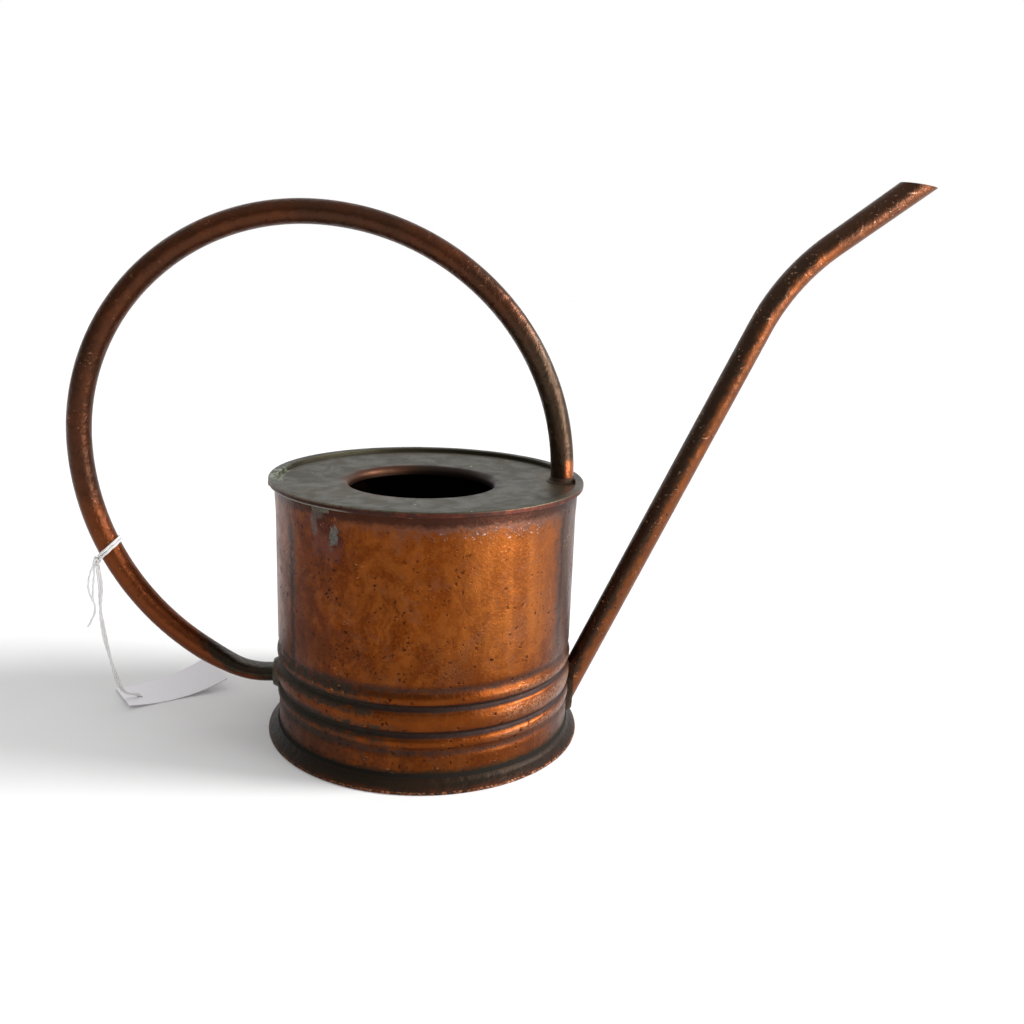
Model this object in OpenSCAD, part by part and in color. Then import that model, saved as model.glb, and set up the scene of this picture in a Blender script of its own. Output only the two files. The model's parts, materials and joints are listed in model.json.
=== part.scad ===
// Indoor watering can of soldered sheet copper, with a ring handle and a long thin spout.
// Origin at the centre of the foot on the floor, +Z up, +X towards the spout.

/* [Drum] */
// Outer radius of the drum's wall
body_r = 70.6; // [60:0.1:85]
// Height of the rim's top above the floor
rim_z = 125.3; // [110:0.1:152]
// Thickness of the sheet copper
sheet = 0.7; // [0.5:0.05:0.9]
// How far the wall swells out at the very top
top_swell = 0.4; // [0:0.1:1]

/* [Beads] */
// Height of the middle bead's centre
bead_z = 31.4; // [28:0.1:36]
// Distance from the middle bead to each outer one
bead_gap = 10; // [8.5:0.1:12]
// How far the middle bead stands out
bead_out = 0.8; // [0.3:0.1:1.4]
// How far the narrow beads stand out
narrow_out = 0.6; // [0.3:0.1:1.4]
// Depth of the grooves between the beads
groove_in = 1.5; // [0.3:0.1:1.8]

/* [Rim and lid] */
// How far the rim overhangs the wall
rim_out = 3.1; // [2.6:0.1:4]
// Height of the rim's folded hem
hem_h = 2.6; // [2.2:0.1:4]
// How far the lid lies below the rim
lid_drop = 2.0; // [1.2:0.1:3]
// How far the lid dips from its edge to the filler hole
lid_dish = 0.8; // [0:0.1:1.5]

/* [Filler hole] */
// Radius at which the lid starts to turn down
filler_r = 37.2; // [28:0.1:42]
// How far the filler hole sits off the middle, away from the handle's foot
filler_off = 3; // [0:0.1:5]
// Radius of the bend into the throat
filler_bend = 3; // [2:0.1:4]
// Length of the straight throat below the bend
filler_throat = 1.4; // [0.5:0.1:4]

/* [Foot] */
// How far the foot reaches out from the wall
foot_out = 5.4; // [4.5:0.1:7]
// Radius of the hollow where the foot meets the wall
foot_cove = 5; // [3:0.1:6]

/* [Handle] */
// Outer radius of the handle's tube
handle_tube_r = 5.5; // [4.5:0.1:6.6]
// Wall of the handle's tube
handle_wall = 0.8; // [0.6:0.1:1.2]
// Gap between the handle's upright end and the rim
handle_gap = 0.2; // [0.1:0.1:3]
// Straight rise of the upright end above the lid before it bends
handle_rise = 2.1; // [1:0.1:20]
// Bend radius of the front quarter of the ring
handle_front_r = 117.6; // [98:0.1:142]
// Bend radius of the top back quarter of the ring
handle_back_r = 105.4; // [88:0.1:127]
// Bend radius of the pressed low end
handle_low_r = 36; // [30:0.5:43.5]
// Length of the pressed end's level run
handle_level = 6.4; // [5.3:0.1:7.7]
// Height at which the low end meets the drum
handle_low_z = 25.2; // [21:0.1:31]
// Thickness of the low end where it is pressed flat
press_t = 7.4; // [6.1:0.1:8.9]

/* [Spout] */
// Outer radius of the spout's tube
spout_r = 5.8; // [4.8:0.1:7]
// Wall of the spout's tube
spout_wall = 0.8; // [0.6:0.1:1.2]
// Height at which the spout's centre line meets the drum's wall
spout_root_z = 16.9; // [14:0.1:20.5]
// Lean of the lower run from upright, in degrees
spout_lean = 24.6; // [20:0.1:30]
// Length of the straight lower run
spout_run = 200.5; // [167:0.5:241]
// Bend radius at the neck
spout_neck_r = 100; // [83:1:120]
// Lean of the upper run from upright, in degrees
spout_tip_lean = 53; // [44:0.1:64]
// Length of the upper run to the slanted end's centre
spout_tip_run = 46.6; // [38:0.2:56]
// How much wider the slanted end is than the rest, in radius
spout_flare = 0.4; // [0.1:0.05:0.8]
// Slope of the slanted end below level, in degrees
spout_tip_slant = 7; // [0:1:20]
// Radius of the water hole in the drum's wall
water_hole_r = 4; // [3:0.1:4.6]

/* [Tag and string] */
// Length of the card tag
tag_l = 50; // [42:1:60]
// Width of the card tag
tag_w = 27.5; // [23:0.5:33]
// Thickness of the card
tag_t = 0.4; // [0.3:0.05:0.6]
// Radius of the card's curl
tag_curl_r = 82; // [70:1:100]
// Diameter of the string
string_d = 1.4; // [1:0.1:1.7]
// Diameter of the knot
knot_d = 4; // [3.2:0.1:4.8]

/* [Hidden] */
$fn = 96;

// Clearance between two sheets or a sheet and the solder on it
fit = 0.05;
far = 400;

// Rings of the drum: height, half width and how far each one stands out (in, where negative)
narrow_half = 3.2;
groove_half = 2.4;
middle_half = 5.6;
hollow_half = 3;
hollow_in = 0.5;
groove_at = bead_gap * 0.61;
rings = [
  [bead_z, middle_half, bead_out],
  [bead_z - bead_gap, narrow_half, narrow_out],
  [bead_z + bead_gap, narrow_half, narrow_out],
  [bead_z - groove_at, groove_half, -groove_in],
  [bead_z + groove_at, groove_half, -groove_in],
  [bead_z - bead_gap - 4.2, hollow_half, -hollow_in],
  [bead_z + bead_gap + 4.6, hollow_half, -hollow_in]
];
ring_lift = function (z, ring) let (d = abs(z - ring[0]))
  d < ring[1] ? ring[2] * (1 + cos(180 * d / ring[1])) / 2 : 0;
sum = function (v, i = 0) i < len(v) ? v[i] + sum(v, i + 1) : 0;

// Top of the drum
swell_z = rim_z - 17;
swell_end = rim_z - 7;
swell = function (z) z <= swell_z ? 0 : z >= swell_end ? top_swell :
  top_swell * (1 - cos(180 * (z - swell_z) / (swell_end - swell_z))) / 2;
wall_r = function (z) body_r + swell(z) + sum([for (ring = rings) ring_lift(z, ring)]);

neck_r = body_r + top_swell;
rim_r = body_r + rim_out;
rim_in_r = neck_r - 2 * sheet - fit;
lid_z = rim_z - lid_drop;
flange_z = rim_z - sheet - fit;
hem_z = rim_z - hem_h;
hem_lap = rim_out - top_swell - 0.2;
corner = 0.6;

// Foot: the wall turns out along a cove and then runs down at 45 degrees
foot_r = body_r + foot_out;
slope_sum = foot_r + sheet / 2;
skirt_sum = slope_sum - sqrt(2) * (sheet + fit);
cove_x = body_r + foot_cove;
cove_z = skirt_sum - cove_x + sqrt(2) * foot_cove;
seam_turn = 12;
bead_low_z = bead_z - bead_gap - 4.2 - hollow_half;

arc = function (x, z, r, from, to, n) [for (i = [0:n]) let (a = from + (to - from) * i / n)
  [x + r * cos(a), z + r * sin(a)]];
back = function (v) [for (i = [len(v) - 1:-1:0]) v[i]];
steps = function (from, to, step) let (n = ceil((to - from) / step))
  [for (i = [0:n]) from + (to - from) * i / n];

// Wall heights, close together over the beads and the swell only
ring_top_z = bead_z + bead_gap + 4.6 + hollow_half;
wall_zs = concat(steps(bead_low_z, ring_top_z, 0.8), steps(swell_z, swell_end, 2));
wall_line = function (inset) [for (z = wall_zs) [wall_r(z) - inset, z]];

// Handle: three quarters of tube and a pressed end, each bend tangent to the next. The lower
// back bend takes the radius that lets the pressed end run level into the drum.
handle_x = rim_in_r - handle_gap - handle_tube_r;
handle_upright_z = lid_z + handle_rise;
ring_left = handle_x - handle_front_r - handle_back_r;
front_c = [handle_x - handle_front_r, handle_upright_z];
back_c = front_c + [0, handle_front_r - handle_back_r];
press_c = [-body_r - handle_level, handle_low_z + handle_low_r];
left_reach = ring_left - press_c[0];
low_rise = back_c[1] - press_c[1];
lower_r = round(50 * (handle_low_r ^ 2 - left_reach ^ 2 - low_rise ^ 2)
  / (left_reach + handle_low_r)) / 100;
lower_c = [ring_left + lower_r, back_c[1]];
lower_turn = 180 + round(10 * atan2(low_rise, lower_c[0] - press_c[0])) / 10;
press_w = handle_tube_r + 0.6;
press_lap = 3.5;

// Spout
spout_root = [body_r, 0, spout_root_z];
neck_turn = spout_tip_lean - spout_lean;
spout_sink = 30;
mouth_low_z = cove_z + 0.8;
water_hole_z = spout_root_z + 2;
solder_w = 1.8;
solder_top_z = spout_root_z + spout_r / sin(spout_lean) + 1;
slip = 0.02;
lap_turn = 0.5;

// String: its wraps sit just above the knot on the lower back bend of the ring. Its strands are
// given as distances from the knot across, along Y, and up from the floor, for a knot at route_h;
// a higher or lower knot moves their tops with it and their ends hardly at all.
wrap_above = [3.84, 1.49];
wrap_tilt = 16;
wrap_r = handle_tube_r + string_d / 2 + 0.35;
knot_at = 205.4;
wrap_at = [for (d = wrap_above) knot_at - d / lower_r * 180 / PI];
knot_out = handle_tube_r + knot_d / 2 + 0.35;
knot = lower_c + (lower_r + knot_out) * [cos(knot_at), sin(knot_at)];
route_h = 81.77;
strand_route = [[0, -1.3, 79.4], [0, 0, 73.5], [-0.3, 2, 67], [-1.1, 3, 60], [-2, 5, 53],
                [-2.1, 7, 45], [-1.8, 9, 37], [-1.3, 11, 30], [-0.8, 13, 23], [0, 15, 16.5],
                [0.9, 17, 10.5], [2.2, 19, 6], [4.6, 21, 3.6], [7.2, 22.6, 2.6], [8.7, 23.5, 1.6]];
tail_route = [[-1.6, -0.9, 79.9], [-3.2, 0, 74], [-4.2, 1, 70], [-4.9, 2, 65.5], [-4.8, 3, 61],
              [-4, 3.4, 57.5], [-4.2, 3.2, 53.8], [-5.6, 2.7, 50.2], [-7.4, 2, 46.8]];
from_knot = function (route) [for (p = route)
  [knot[0] + p[0], p[1], p[2] + (knot[1] - route_h) * (p[2] / route_h) ^ 2]];
string_sides = 8;
rings_per_step = 2;

// Tag: its corner, the turn of its long side, and where its curl touches the floor
tag_corner = [knot[0] + 7.2, 10.1];
tag_turn = 30;
curl_turn = 17;
curl_touch = 18;
tag_hole = [8, 11];
tag_hole_r = 1.5;

// ---- Drum ----

module body_outline() {
  throat = flange_z - sheet;
  polygon(concat(
    [[skirt_sum - sheet - fit, sheet + fit]],
    arc(cove_x, cove_z, foot_cove, 225, 180, 6),
    wall_line(0),
    [[neck_r, throat], [rim_r - sheet - fit, throat], [rim_r - sheet - fit, flange_z],
     [neck_r - sheet, flange_z]],
    back(wall_line(sheet)),
    arc(cove_x, cove_z, foot_cove + sheet, 180, 225, 6),
    [[skirt_sum - (1 + sqrt(2)) * sheet - fit, sheet + fit]]
  ));
}

module body_shell() {
  color("#9a5a2c")
  difference() {
    rotate_extrude() body_outline();
    translate([0, 0, water_hole_z]) rotate([0, 90, 0]) cylinder(r = water_hole_r, h = far);
  }
}

module base_plate() {
  cove_in = foot_cove - fit;
  cove_out = foot_cove - fit - sheet;
  color("#5a4034")
  rotate_extrude() polygon(concat(
    [[0, 0], [foot_r - sheet, 0]],
    arc(foot_r - sheet, sheet, sheet, -60, 30, 3),
    arc(cove_x, cove_z, cove_out, 225, 180 + seam_turn, 5),
    arc(cove_x, cove_z, cove_in, 180 + seam_turn, 225, 5),
    [[skirt_sum + sqrt(2) * fit - sheet, sheet], [0, sheet]]
  ));
}

module foot_solder() {
  cove_in = foot_cove - fit;
  edge = arc(cove_x, cove_z, cove_in - sheet, 180 + seam_turn, 180 + seam_turn, 1)[0];
  lip = arc(cove_x, cove_z, cove_in, 180 + seam_turn, 180 + seam_turn, 1)[0];
  color("#b9aa98")
  rotate_extrude() polygon([[lip[0], lip[1] + fit], [edge[0], edge[1] + fit],
    [edge[0] - 0.3, edge[1] + 0.6], [body_r + fit, cove_z + 0.7], [body_r + fit, cove_z]]);
}

// ---- Lid ----

module top_plate() {
  panel_z = lid_z - sheet;
  lip_z = lid_z - lid_dish;
  lip_x = filler_r;
  bend_z = lip_z - filler_bend;
  throat_r = filler_r - filler_bend;
  // The dish runs from the filler hole out to the handle's foot, and the lid is flat beyond it
  dish_r = filler_off + handle_x - handle_tube_r - 2;
  join = 0.5;
  color("#66604f") {
    difference() {
      rotate_extrude() polygon(concat(
        [[0, lid_z], [rim_in_r, lid_z]],
        arc(rim_in_r + corner, rim_z - corner, corner, 180, 90, 4),
        arc(rim_r - corner, rim_z - corner, corner, 90, 0, 4),
        arc(rim_r - corner, hem_z + corner, corner, 0, -90, 4),
        [[rim_r - hem_lap, hem_z], [rim_r - hem_lap, hem_z + sheet],
         [rim_r - sheet, hem_z + sheet], [rim_r - sheet, rim_z - sheet],
         [neck_r - sheet - fit, rim_z - sheet], [neck_r - sheet - fit, panel_z],
         [0, panel_z]]
      ));
      translate([-filler_off, 0, panel_z - 1]) cylinder(r = dish_r, h = sheet + 2);
    }
    translate([-filler_off, 0, 0])
    rotate_extrude() polygon(concat(
      [[throat_r, bend_z - filler_throat]],
      arc(lip_x, bend_z, filler_bend, 180, 90, 8),
      [[dish_r, lid_z], [dish_r + join, lid_z], [dish_r + join, panel_z], [dish_r, panel_z]],
      arc(lip_x, bend_z, filler_bend - sheet, 90, 180, 8),
      [[throat_r + sheet, bend_z - filler_throat]]
    ));
  }
}

module lump(start, turn, reach) {
  top = hem_z - fit;
  drop = reach - 2 * fit;
  rotate([0, 0, start]) rotate_extrude(angle = turn) polygon(concat(
    [[neck_r + fit, top], [neck_r + reach, top]],
    arc(neck_r + reach, top - drop, drop, 80, 180, 5),
    [[neck_r + fit, top - drop - 0.6]]
  ));
}

module rim_solder() {
  color("#6d7468") {
    lump(176, 18, rim_out - top_swell - 0.3);
    lump(227, 8, rim_out - top_swell - 0.8);
  }
}

// ---- Handle ----

// One bend in the X-Z plane about c, between two angles from +X up towards +Z
module bend(c, bend_r, from, to) {
  translate([c[0], 0, c[1]]) rotate([90, 0, 0])
    rotate_extrude(angle = to - from, start = from) translate([bend_r, 0]) children();
}

module handle_run(tube_r, sink) {
  translate([handle_x, 0, lid_z + fit - sink])
    cylinder(r = tube_r, h = handle_upright_z - lid_z - fit + sink);
  bend(front_c, handle_front_r, 0, 90) circle(tube_r);
  bend(back_c, handle_back_r, 90, 180) circle(tube_r);
  bend(lower_c, lower_r, 180, lower_turn + sink) circle(tube_r);
}

module press_section(grow) {
  r = press_t / 2;
  for (side = [-1, 1]) translate([0, side * (press_w - r)]) circle(r + grow);
  square([press_t + 2 * grow, 2 * (press_w - r)], center = true);
}

// The tube's end, pressed to a flat bar that bends level and runs up to the drum
module pressed_end(grow) {
  bend(press_c, handle_low_r, lower_turn - press_lap, 270) press_section(grow);
  translate([press_c[0], 0, handle_low_z]) rotate([0, 90, 0]) linear_extrude(handle_level + 2)
    press_section(grow);
}

module handle() {
  color("#5f3c24")
  difference() {
    union() {
      difference() {
        handle_run(handle_tube_r, 0);
        handle_run(handle_tube_r - handle_wall, 1);
      }
      pressed_end(0);
    }
    cylinder(r = body_r + bead_out + fit, h = lid_z / 2);
  }
}

module handle_top_solder() {
  foot = 1.9;
  color("#3d352b")
  translate([handle_x, 0, lid_z + fit])
  intersection() {
    rotate_extrude() polygon([[handle_tube_r + fit, 0], [handle_tube_r + foot, 0],
      [handle_tube_r + 0.6, 0.9], [handle_tube_r + fit, 2.4]]);
    translate([-handle_x, 0, -1]) cylinder(r = rim_in_r - fit, h = 10);
  }
}

module handle_low_solder() {
  color("#33352e")
  difference() {
    translate([1 - body_r, 0, handle_low_z]) rotate([0, -90, 0])
      cylinder(r1 = press_w + 2.4, r2 = press_w + 0.4, h = 4);
    drum_room();
    pressed_end(fit);
  }
}

// The drum's outside with clearance, for what is soldered to it
module drum_room() {
  rotate_extrude($fn = 240)
    polygon(concat([[0, 0], [body_r + fit, 0]], wall_line(-fit), [[0, swell_end]]));
}

// ---- Spout ----

module spout_frame() {
  translate(spout_root) rotate([0, spout_lean, 0]) children();
}

module tip_frame() {
  spout_frame() translate([spout_neck_r, 0, spout_run]) rotate([0, neck_turn, 0])
    translate([-spout_neck_r, 0, 0]) children();
}

// Straight run, neck, and the upper run, which widens a little to its end. The neck is a hair
// slimmer and laps into both runs, so that the three join as one tube.
module spout_tube(tube_r, sink) {
  spout_frame() {
    translate([0, 0, -sink]) cylinder(r = tube_r, h = spout_run + sink);
    translate([spout_neck_r, 0, spout_run]) rotate([90, 0, 0])
      rotate_extrude(angle = neck_turn + 2 * lap_turn, start = 180 - neck_turn - lap_turn)
      translate([spout_neck_r, 0]) circle(tube_r - slip);
  }
  tip_frame() cylinder(r1 = tube_r, r2 = tube_r + spout_flare, h = spout_tip_run + 2 * spout_r);
}

module tip_cut() {
  tip_frame() translate([0, 0, spout_tip_run]) rotate([0, spout_tip_slant - spout_tip_lean, 0])
    translate([-far / 2, -far / 2, 0]) cube([far, far, 60]);
}

module spout() {
  color("#8a5230")
  difference() {
    spout_tube(spout_r, spout_sink);
    spout_tube(spout_r - spout_wall, spout_sink + 1);
    tip_cut();
    translate([0, 0, -far / 2]) cylinder(r = far, h = far / 2 + mouth_low_z);
    translate([0, 0, mouth_low_z - 1]) cylinder(r = body_r + bead_out + fit, h = 90);
  }
}

module spout_solder() {
  color("#4a4038")
  difference() {
    intersection() {
      spout_frame() translate([0, 0, -spout_sink]) cylinder(r = spout_r + solder_w, h = 90);
      translate([0, 0, mouth_low_z]) cylinder(r = body_r + 3.4, h = solder_top_z - mouth_low_z);
    }
    drum_room();
    spout_frame() translate([0, 0, -spout_sink]) cylinder(r = spout_r + fit, h = 90);
  }
}

// ---- Tag and string ----

unit = function (v) v / norm(v);
tangent = function (p, i) unit(p[min(i + 1, len(p) - 1)] - p[max(i - 1, 0)]);
spline = function (a, b, c, d, t) 0.5 * (2 * b + (c - a) * t
  + (2 * a - 5 * b + 4 * c - d) * t * t + (3 * b - a - 3 * c + d) * t * t * t);
smooth = function (p) let (n = len(p)) concat(
  [for (i = [0:n - 2], j = [0:rings_per_step - 1])
    spline(p[max(i - 1, 0)], p[i], p[i + 1], p[min(i + 2, n - 1)], j / rings_per_step)],
  [p[n - 1]]);

module cord(route, d) {
  line = smooth(route);
  n = len(line);
  s = string_sides;
  side = [1, -0.5, 0.1];
  pts = [for (i = [0:n - 1]) let (t = tangent(line, i), u = unit(cross(t, side)), v = cross(t, u))
    for (k = [0:s - 1]) line[i] + d / 2 * (u * cos(360 * k / s) + v * sin(360 * k / s))];
  walls = [for (i = [0:n - 2], k = [0:s - 1]) let (a = i * s + k, b = i * s + (k + 1) % s)
    [a, a + s, b + s, b]];
  first = [for (k = [0:s - 1]) k];
  last = [for (k = [s - 1:-1:0]) (n - 1) * s + k];
  polyhedron(points = pts, faces = concat(walls, [first, last]));
}

module on_ring(at) {
  translate([lower_c[0], 0, lower_c[1]]) rotate([0, -at, 0]) translate([lower_r, 0, 0])
    children();
}

module string_wrap() {
  color("#d8d6d2") {
    for (at = wrap_at)
      on_ring(at) rotate([0, -wrap_tilt, 0]) rotate_extrude() translate([wrap_r, 0])
        circle(d = string_d);
    on_ring(knot_at) translate([knot_out, -1.5, -0.4]) sphere(d = knot_d);
  }
}

module tag_string() {
  color("#d8d6d2") cord(from_knot(strand_route), string_d);
}

module string_end() {
  color("#d8d6d2") cord(from_knot(tail_route), string_d * 0.85);
}

module tag() {
  color("#cfcdd2")
  intersection() {
    translate(tag_corner) rotate([0, 0, tag_turn]) linear_extrude(30) difference() {
      square([tag_l, tag_w]);
      translate(tag_hole) circle(tag_hole_r);
    }
    translate(tag_corner) rotate([0, 0, tag_turn + curl_turn])
      translate([curl_touch, 0, tag_curl_r]) rotate([90, 0, 0]) difference() {
        cylinder(r = tag_curl_r, h = far, center = true);
        cylinder(r = tag_curl_r - tag_t, h = far + 2, center = true);
      }
  }
}

body_shell();
base_plate();
top_plate();
handle();
spout();
handle_top_solder();
handle_low_solder();
spout_solder();
foot_solder();
rim_solder();
string_wrap();
tag_string();
string_end();
tag();
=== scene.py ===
import json
from math import ceil, cos, pi, radians, sin, sqrt, tanh

import bmesh
import bpy
from mathutils import Matrix, Vector

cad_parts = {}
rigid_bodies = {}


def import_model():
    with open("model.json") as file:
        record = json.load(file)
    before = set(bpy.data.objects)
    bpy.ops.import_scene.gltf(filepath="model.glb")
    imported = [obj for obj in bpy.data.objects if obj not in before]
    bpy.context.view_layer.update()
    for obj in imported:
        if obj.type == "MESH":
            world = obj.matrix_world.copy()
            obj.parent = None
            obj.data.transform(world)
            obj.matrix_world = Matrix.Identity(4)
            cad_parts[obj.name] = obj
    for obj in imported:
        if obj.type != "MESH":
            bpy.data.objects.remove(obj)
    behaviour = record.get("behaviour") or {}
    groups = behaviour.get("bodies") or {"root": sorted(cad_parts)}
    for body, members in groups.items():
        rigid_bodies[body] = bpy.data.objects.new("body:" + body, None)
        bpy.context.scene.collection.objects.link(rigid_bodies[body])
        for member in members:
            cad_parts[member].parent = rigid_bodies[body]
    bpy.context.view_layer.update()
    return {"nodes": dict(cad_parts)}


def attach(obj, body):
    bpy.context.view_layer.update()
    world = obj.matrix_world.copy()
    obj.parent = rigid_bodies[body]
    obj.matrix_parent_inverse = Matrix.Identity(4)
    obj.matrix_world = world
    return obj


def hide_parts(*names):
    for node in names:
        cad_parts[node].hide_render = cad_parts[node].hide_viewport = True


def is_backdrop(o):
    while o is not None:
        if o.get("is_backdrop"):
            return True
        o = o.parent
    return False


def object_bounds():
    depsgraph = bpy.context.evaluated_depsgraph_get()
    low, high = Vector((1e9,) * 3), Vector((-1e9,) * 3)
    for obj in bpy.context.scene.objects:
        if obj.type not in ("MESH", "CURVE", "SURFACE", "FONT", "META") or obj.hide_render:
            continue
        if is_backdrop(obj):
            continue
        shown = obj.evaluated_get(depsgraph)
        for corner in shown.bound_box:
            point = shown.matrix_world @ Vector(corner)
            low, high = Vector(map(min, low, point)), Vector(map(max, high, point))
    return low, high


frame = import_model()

mm = 0.001

# ---------------------------------------------------------------- camera
# A hand-held camera a little above the rim, turned a few degrees towards the spout
# and held slightly out of level.
camera = bpy.data.objects.new("camera", bpy.data.cameras.new("camera"))
camera.data.sensor_width = 36
camera.data.lens = 35.16
camera.data.clip_start = 0.01
camera.matrix_world = (
    Matrix.Translation((0, -0.4655, 0.2240))
    @ Matrix.Rotation(radians(-4.98), 4, "Z")
    @ Matrix.Rotation(radians(90 - 13.96), 4, "X")
    @ Matrix.Rotation(radians(2.17), 4, "Z")
)
bpy.context.scene.collection.objects.link(camera)
bpy.context.scene.camera = camera

# ---------------------------------------------------------------- string of the tag
# White cotton, two yarns laid together. It is wound twice round the handle and knotted,
# one doubled end runs down through the card and a short loop and tail hang from the knot.


def rgb(r, g, b):
    """A colour as it looks on a screen, 0 to 255, as Blender's linear values."""
    return tuple(((c / 255 + 0.055) / 1.055) ** 2.4 if c > 10 else c / 255 / 12.92 for c in (r, g, b)) + (1,)


def new_material(name):
    """A new material, its node tree and its shader."""
    material = bpy.data.materials.new(name)
    material.use_nodes = True
    tree = material.node_tree
    shader = tree.nodes["Principled BSDF"]
    return material, tree, shader


def wire(tree, kind, links=None, **settings):
    """Adds a node, sets its attributes, and fills its inputs with values or other nodes' outputs."""
    node = tree.nodes.new(kind)
    for key, value in settings.items():
        setattr(node, key, value)
    for key, value in (links or {}).items():
        if isinstance(value, bpy.types.NodeSocket):
            tree.links.new(value, node.inputs[key])
        else:
            node.inputs[key].default_value = value
    return node


def math(tree, operation, a, b=None):
    values = {0: a} if b is None else {0: a, 1: b}
    return wire(tree, "ShaderNodeMath", values, operation=operation).outputs[0]


def ramp(tree, value, low, high, out_low=0.0, out_high=1.0):
    """Maps low..high to out_low..out_high with soft ends."""
    node = wire(tree, "ShaderNodeMapRange",
                {"Value": value, "From Min": low, "From Max": high, "To Min": out_low, "To Max": out_high},
                interpolation_type="SMOOTHSTEP")
    return node.outputs["Result"]


def blend(tree, factor, a, b):
    """The value a where the factor is 0 and b where it is 1."""
    node = wire(tree, "ShaderNodeMix", data_type="RGBA")
    for key, value in ((0, factor), (6, a), (7, b)):
        if isinstance(value, bpy.types.NodeSocket):
            tree.links.new(value, node.inputs[key])
        else:
            node.inputs[key].default_value = value
    return node.outputs[2]


def noise(tree, vector, scale, detail=2.0, rough=0.5, warp=0.0, seed=0.0):
    node = wire(tree, "ShaderNodeTexNoise",
                {"Vector": vector, "W": seed, "Scale": scale, "Detail": detail, "Roughness": rough,
                 "Distortion": warp},
                noise_dimensions="4D")
    return node.outputs[0]


def place(tree, scale=(1, 1, 1), turn=(0, 0, 0), shift=(0, 0, 0)):
    """The piece's own coordinates in metres, moved, turned and stretched."""
    coords = wire(tree, "ShaderNodeTexCoord")
    return wire(tree, "ShaderNodeMapping",
                {"Vector": coords.outputs["Object"], "Scale": scale, "Rotation": turn,
                 "Location": shift}).outputs[0]


def smooth_line(points, parts):
    """A smooth line through the points, with so many parts between each two."""
    line = []
    last = len(points) - 1
    for i in range(last):
        a, b, c, d = (Vector(points[k]) for k in (max(i - 1, 0), i, i + 1, min(i + 2, last)))
        for j in range(parts):
            t = j / parts
            line.append(0.5 * (2 * b + (c - a) * t + (2 * a - 5 * b + 4 * c - d) * t * t
                               + (3 * b - a - 3 * c + d) * t ** 3))
    return line + [Vector(points[last])]


def resample(line, step):
    """The same line with points a step apart."""
    out, left = [line[0].copy()], step
    for a, b in zip(line, line[1:]):
        span = (b - a).length
        while span > 0 and left <= span:
            a = a + (b - a) * (left / span)
            span = (b - a).length
            out.append(a.copy())
            left = step
        left -= span
    if (out[-1] - line[-1]).length > step / 3:
        out.append(line[-1].copy())
    return out


def yarn(name, lines, radius, material, lobes=3, twist=1400.0, sides=12):
    """Twisted yarns along the lines: a lobed round that turns as it goes, closed at both ends."""
    points, faces, uvs = [], [], []
    for line in lines:
        start = len(points)
        up = Vector((0.3, 1, 0.2))
        walked = 0.0
        for i, p in enumerate(line):
            t = (line[min(i + 1, len(line) - 1)] - line[max(i - 1, 0)]).normalized()
            if i:
                walked += (p - line[i - 1]).length
            up = (up - t * up.dot(t)).normalized()
            side = t.cross(up)
            for k in range(sides):
                a = 2 * pi * k / sides
                r = radius * (0.9 + 0.1 * cos(lobes * a - twist * walked))
                points.append(p + r * (up * cos(a) + side * sin(a)))
                uvs.append((k / sides, walked))
        for i in range(len(line) - 1):
            for k in range(sides):
                a, b = start + i * sides + k, start + i * sides + (k + 1) % sides
                faces.append((a, b, b + sides, a + sides))
        for first, flip in ((start, True), (start + (len(line) - 1) * sides, False)):
            middle = len(points)
            points.append(line[-1] if not flip else line[0])
            uvs.append((0.5, walked))
            for k in range(sides):
                a, b = first + k, first + (k + 1) % sides
                faces.append((b, a, middle) if flip else (a, b, middle))
    mesh = bpy.data.meshes.new(name)
    mesh.from_pydata([tuple(p) for p in points], [], faces)
    layer = mesh.uv_layers.new(name="yarn")
    for loop in mesh.loops:
        layer.data[loop.index].uv = uvs[loop.vertex_index]
    mesh.polygons.foreach_set("use_smooth", [True] * len(faces))
    mesh.materials.append(material)
    mesh.update()
    obj = bpy.data.objects.new(name, mesh)
    bpy.context.scene.collection.objects.link(obj)
    return obj


cotton, tree, shader = new_material("cotton string")
uv = wire(tree, "ShaderNodeUVMap", uv_map="yarn").outputs[0]
split = wire(tree, "ShaderNodeSeparateXYZ", {0: uv})
ply = math(tree, "SINE", math(tree, "MULTIPLY", math(tree, "SUBTRACT",
           math(tree, "MULTIPLY", split.outputs[0], 3.0),
           math(tree, "MULTIPLY", split.outputs[1], 223.0)), 2 * pi))
fuzz = noise(tree, place(tree), 2600, 4, 0.7)
shade = ramp(tree, math(tree, "ADD", math(tree, "MULTIPLY", ply, 0.5), fuzz), -0.1, 1.1)
tree.links.new(blend(tree, shade, rgb(230, 229, 228), rgb(253, 252, 251)), shader.inputs["Base Color"])
fuzz_bump = wire(tree, "ShaderNodeBump", {"Height": shade, "Strength": 0.5, "Distance": 0.0002})
tree.links.new(fuzz_bump.outputs[0], shader.inputs["Normal"])
shader.inputs["Roughness"].default_value = 0.95
shader.inputs["Specular IOR Level"].default_value = 0.2

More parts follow.
